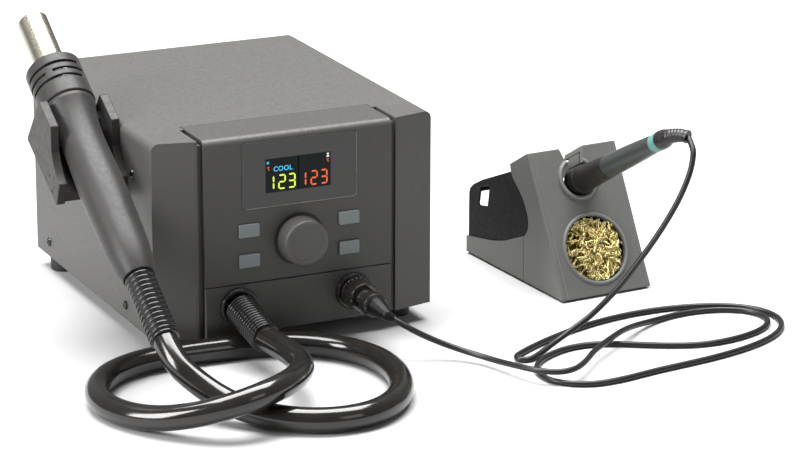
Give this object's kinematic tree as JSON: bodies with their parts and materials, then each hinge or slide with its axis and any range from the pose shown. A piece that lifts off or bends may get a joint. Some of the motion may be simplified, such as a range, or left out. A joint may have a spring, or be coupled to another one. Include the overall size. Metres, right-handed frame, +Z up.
{
  "type": "hot air station",
  "caption": "Hot-air rework station with a ribbed-hose handpiece in a side cradle and a corded soldering iron in a slanted stand with brass wool.",
  "frame": {"origin": "on the bench, under the middle of the station's case", "axes": "+X to the right of the station's front, +Y to its back, +Z up"},
  "size_m": [0.4661, 0.3915, 0.1936],
  "materials": {
    "cover_paint": "fine textured powder coat, warm mid grey",
    "bezel_plastic": "fine grain, light warm grey",
    "panel_plastic": "satin dark grey",
    "window": "gloss black with a colour segment display",
    "lcd": "display module",
    "circuit_board": "green solder mask",
    "switch": "black moulded",
    "shaft_metal": "turned",
    "button_plastic": "satin pale blue grey",
    "knob_plastic": "satin dark grey, fine knurl, bright rim",
    "laminations": "varnished",
    "blower_plastic": "moulded black",
    "motor_can": "plated",
    "inner_hose": "clear grey silicone",
    "inlet_plastic": "moulded black",
    "rocker_plastic": "gloss black",
    "pin_metal": "plated",
    "port_plastic": "satin black",
    "relief_rubber": "black, ribbed",
    "hose_rubber": "glossy black",
    "cord_rubber": "satin dark grey",
    "socket_plastic": "black",
    "plug_metal": "dark bright plate",
    "boot_rubber": "glossy black",
    "cradle_plastic": "black powder coat",
    "grip_plastic": "satin black",
    "shield_metal": "bright liner behind the vents",
    "tube_metal": "stainless, slightly heat tinted",
    "heater_ceramic": "cream ceramic core",
    "stand_paint": "fine grain mid grey",
    "trough_plastic": "light grey",
    "cage_metal": "black sheet steel",
    "wool": "curled shavings",
    "iron_steel": "stainless barrel",
    "tip_plating": "iron plated, tinned point",
    "collar_plastic": "black",
    "handle_plastic": "satin blue grey",
    "ring_plastic": "teal",
    "iron_relief_rubber": "black",
    "screw_metal": "black oxide pan heads",
    "foot_rubber": "black"
  },
  "bodies": {
    "station": {"air_tube": "inner_hose", "base_tray": "cover_paint", "blower_housing": "blower_plastic", "blower_motor": "motor_can", "brass_wool": "wool", "case_screws": "screw_metal", "connector_panel": "panel_plastic", "control_board": "circuit_board", "control_panel": "panel_plastic", "cradle": "cradle_plastic", "display_window": "window", "encoder_body": "switch", "front_bezel": "bezel_plastic", "holder_trough": "trough_plastic", "hose_floor": "hose_rubber", "hose_port_flange": "port_plastic", "hose_port_relief": "relief_rubber", "inlet_pins": "pin_metal", "iron_cord_floor": "cord_rubber", "iron_plug": "plug_metal", "iron_plug_boot": "boot_rubber", "iron_socket": "socket_plastic", "lcd_module": "lcd", "mains_inlet": "inlet_plastic", "power_board": "circuit_board", "rear_panel": "cover_paint", "rocker_frame": "inlet_plastic", "rubber_feet": "foot_rubber", "stand_base": "stand_paint", "stand_body": "stand_paint", "stand_cage": "cage_metal", "tact_switches": "switch", "top_cover": "cover_paint", "transformer": "laminations", "wool_cup": "cage_metal"},
    "knob_push": {"encoder_plunger": "switch"},
    "knob_turn": {"encoder_shaft": "shaft_metal", "knob": "knob_plastic"},
    "button_up_left": {"button_up_left": "button_plastic"},
    "button_down_left": {"button_down_left": "button_plastic"},
    "button_up_right": {"button_up_right": "button_plastic"},
    "button_down_right": {"button_down_right": "button_plastic"},
    "plug_ring": {"iron_plug_ring": "plug_metal"},
    "rocker": {"rocker": "rocker_plastic"},
    "fuse_drawer": {"fuse_drawer": "inlet_plastic"},
    "impeller": {"blower_impeller": "blower_plastic"},
    "handpiece": {"hand_relief": "relief_rubber", "grip": "grip_plastic", "head_shell": "grip_plastic", "heat_shield": "shield_metal", "heater_tube": "tube_metal", "heater_core": "heater_ceramic", "hose_hang": "hose_rubber"},
    "iron": {"iron_tip": "tip_plating", "iron_barrel": "iron_steel", "iron_collar": "collar_plastic", "iron_handle": "handle_plastic", "iron_ring": "ring_plastic", "iron_relief": "iron_relief_rubber", "iron_cord_hang": "cord_rubber"}
  },
  "joints": [
    {"name": "button_up_left_press", "type": "slide", "parent": "station", "child": "button_up_left", "axis": [0, 1, 0], "range_m": [0, 0.0008], "stiffness_N_per_m": 300},
    {"name": "button_down_left_press", "type": "slide", "parent": "station", "child": "button_down_left", "axis": [0, 1, 0], "range_m": [0, 0.0008], "stiffness_N_per_m": 300},
    {"name": "button_up_right_press", "type": "slide", "parent": "station", "child": "button_up_right", "axis": [0, 1, 0], "range_m": [0, 0.0008], "stiffness_N_per_m": 300},
    {"name": "button_down_right_press", "type": "slide", "parent": "station", "child": "button_down_right", "axis": [0, 1, 0], "range_m": [0, 0.0008], "stiffness_N_per_m": 300},
    {"name": "knob_press", "type": "slide", "parent": "station", "child": "knob_push", "axis": [0, 1, 0], "range_m": [0, 0.0005], "stiffness_N_per_m": 700},
    {"name": "knob_spin", "type": "hinge", "parent": "knob_push", "child": "knob_turn", "pos_m": [0, -0.118, 0.0693], "axis": [0, -1, 0], "continuous": true},
    {"name": "plug_ring_spin", "type": "hinge", "parent": "station", "child": "plug_ring", "pos_m": [0.037, -0.123, 0.0297], "axis": [0, -1, 0], "continuous": true},
    {"name": "rocker_tilt", "type": "hinge", "parent": "station", "child": "rocker", "pos_m": [-0.01, 0.1125, 0.046], "axis": [0, 0, 1], "range_deg": [0, 20]},
    {"name": "fuse_drawer_slide", "type": "slide", "parent": "station", "child": "fuse_drawer", "axis": [0, 1, 0], "range_m": [0, 0.022]},
    {"name": "impeller_spin", "type": "hinge", "parent": "station", "child": "impeller", "pos_m": [-0.0135, 0.01, 0.04], "axis": [0, 0, 1], "continuous": true},
    {"name": "handpiece_lift", "type": "slide", "parent": "station", "child": "handpiece", "axis": [0, -0.4924, 0.8704], "range_m": [0, 0.06]},
    {"name": "iron_draw", "type": "slide", "parent": "station", "child": "iron", "axis": [0.0614, -0.8775, 0.4756], "range_m": [0, 0.11]}
  ]
}
